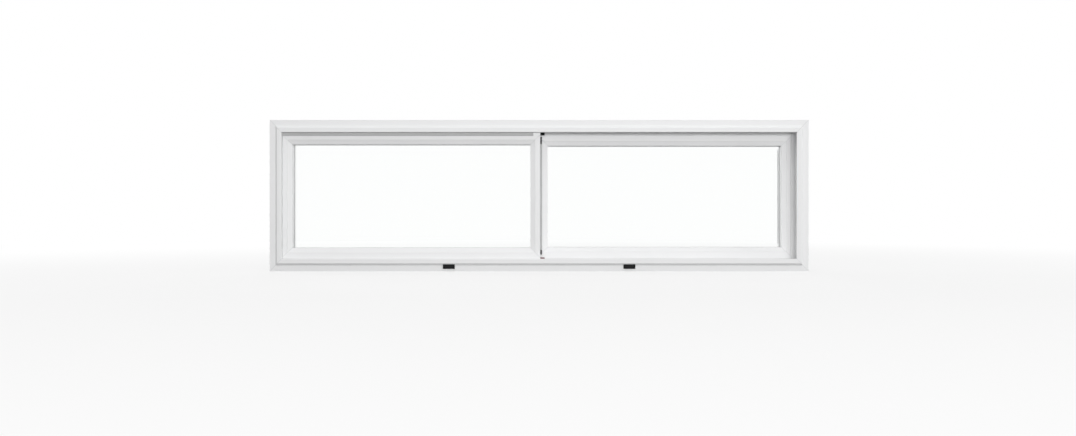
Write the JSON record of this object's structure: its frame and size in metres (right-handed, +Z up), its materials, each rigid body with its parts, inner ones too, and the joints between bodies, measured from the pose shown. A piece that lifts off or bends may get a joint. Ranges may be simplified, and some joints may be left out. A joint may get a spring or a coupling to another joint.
{
  "type": "sliding window",
  "caption": "Horizontal sliding window in white vinyl with sealed double glazing, rolling sashes in separate tracks, a cam lock and weep covers, in its mitred frame.",
  "frame": {"origin": "under the middle of the sill, halfway through the frame's depth", "axes": "+X along the width, to the right seen from outside; +Y from the outside of the building to the inside; +Z up"},
  "size_m": [1.219, 0.0826, 0.342],
  "materials": {
    "white_vinyl": "satin extruded white vinyl",
    "bead_vinyl": "smooth white vinyl",
    "black_plastic": "moulded black",
    "black_pile": "black woven pile",
    "red_pile": "dull red woven pile",
    "grey_pile": "grey woven pile",
    "clear_glass": "clear float glass",
    "spacer_metal": "satin spacer bar",
    "edge_sealant": "black sealant",
    "block_rubber": "dark rubber",
    "housing_nylon": "moulded nylon",
    "wheel_nylon": "natural nylon",
    "steel": "zinc plated",
    "lock_white": "white powder coat",
    "cam_metal": "zinc die casting"
  },
  "bodies": {
    "frame": {"frame_head": "white_vinyl", "frame_sill": "white_vinyl", "frame_jamb_left": "white_vinyl", "frame_jamb_right": "white_vinyl", "weep_cover_left": "black_plastic", "weep_cover_right": "black_plastic", "head_dust_plug": "black_pile", "sill_dust_plug": "red_pile"},
    "front_sash": {"interlock_end_pads": "black_pile", "front_top_rail": "white_vinyl", "front_bottom_rail": "white_vinyl", "front_jamb_stile": "white_vinyl", "front_meeting_stile": "white_vinyl", "front_bead_top": "bead_vinyl", "front_bead_bottom": "bead_vinyl", "front_bead_left": "bead_vinyl", "front_bead_right": "bead_vinyl", "front_outer_pane": "clear_glass", "front_inner_pane": "clear_glass", "front_spacer": "spacer_metal", "front_edge_seal": "edge_sealant", "front_setting_blocks": "block_rubber", "front_pile_seals": "grey_pile", "front_interlock": "bead_vinyl", "front_roller_housing_left": "housing_nylon", "front_axle_left": "steel", "front_roller_housing_right": "housing_nylon", "front_axle_right": "steel", "keeper": "steel", "keeper_screws": "steel"},
    "rear_sash": {"rear_top_rail": "white_vinyl", "rear_bottom_rail": "white_vinyl", "rear_jamb_stile": "white_vinyl", "rear_meeting_stile": "white_vinyl", "rear_bead_top": "bead_vinyl", "rear_bead_bottom": "bead_vinyl", "rear_bead_left": "bead_vinyl", "rear_bead_right": "bead_vinyl", "rear_outer_pane": "clear_glass", "rear_inner_pane": "clear_glass", "rear_spacer": "spacer_metal", "rear_edge_seal": "edge_sealant", "rear_setting_blocks": "block_rubber", "rear_pile_seals": "grey_pile", "rear_interlock": "bead_vinyl", "rear_roller_housing_left": "housing_nylon", "rear_axle_left": "steel", "rear_roller_housing_right": "housing_nylon", "rear_axle_right": "steel", "lock_base": "lock_white", "lock_screws": "steel", "pull_rail": "bead_vinyl"},
    "lock_handle": {"lock_cam": "cam_metal", "lock_lever": "lock_white"},
    "front_wheel_left_body": {"front_wheel_left": "wheel_nylon"},
    "front_wheel_right_body": {"front_wheel_right": "wheel_nylon"},
    "rear_wheel_left_body": {"rear_wheel_left": "wheel_nylon"},
    "rear_wheel_right_body": {"rear_wheel_right": "wheel_nylon"}
  },
  "joints": [
    {"name": "front_sash_slide", "type": "slide", "parent": "frame", "child": "front_sash", "axis": [1, 0, 0], "range_m": [0, 0.548]},
    {"name": "rear_sash_slide", "type": "slide", "parent": "frame", "child": "rear_sash", "axis": [-1, 0, 0], "range_m": [0, 0.548]},
    {"name": "lock_lever_turn", "type": "hinge", "parent": "rear_sash", "child": "lock_handle", "pos_m": [-0.0075, 0.01275, 0.17], "axis": [1, 0, 0], "range_deg": [0, 90]},
    {"name": "front_wheel_left_spin", "type": "hinge", "parent": "front_sash", "child": "front_wheel_left_body", "pos_m": [-0.5185, -0.01675, 0.0228], "axis": [0, 1, 0], "continuous": true},
    {"name": "front_wheel_right_spin", "type": "hinge", "parent": "front_sash", "child": "front_wheel_right_body", "pos_m": [-0.0723, -0.01675, 0.0228], "axis": [0, 1, 0], "continuous": true},
    {"name": "rear_wheel_left_spin", "type": "hinge", "parent": "rear_sash", "child": "rear_wheel_left_body", "pos_m": [0.0723, 0.01625, 0.0228], "axis": [0, 1, 0], "continuous": true},
    {"name": "rear_wheel_right_spin", "type": "hinge", "parent": "rear_sash", "child": "rear_wheel_right_body", "pos_m": [0.5185, 0.01625, 0.0228], "axis": [0, 1, 0], "continuous": true}
  ],
  "couplings": [
    {"joint": "front_wheel_left_spin", "follows": "front_sash_slide", "rad_per_m": 125},
    {"joint": "front_wheel_right_spin", "follows": "front_sash_slide", "rad_per_m": 125},
    {"joint": "rear_wheel_left_spin", "follows": "rear_sash_slide", "rad_per_m": -125},
    {"joint": "rear_wheel_right_spin", "follows": "rear_sash_slide", "rad_per_m": -125}
  ]
}
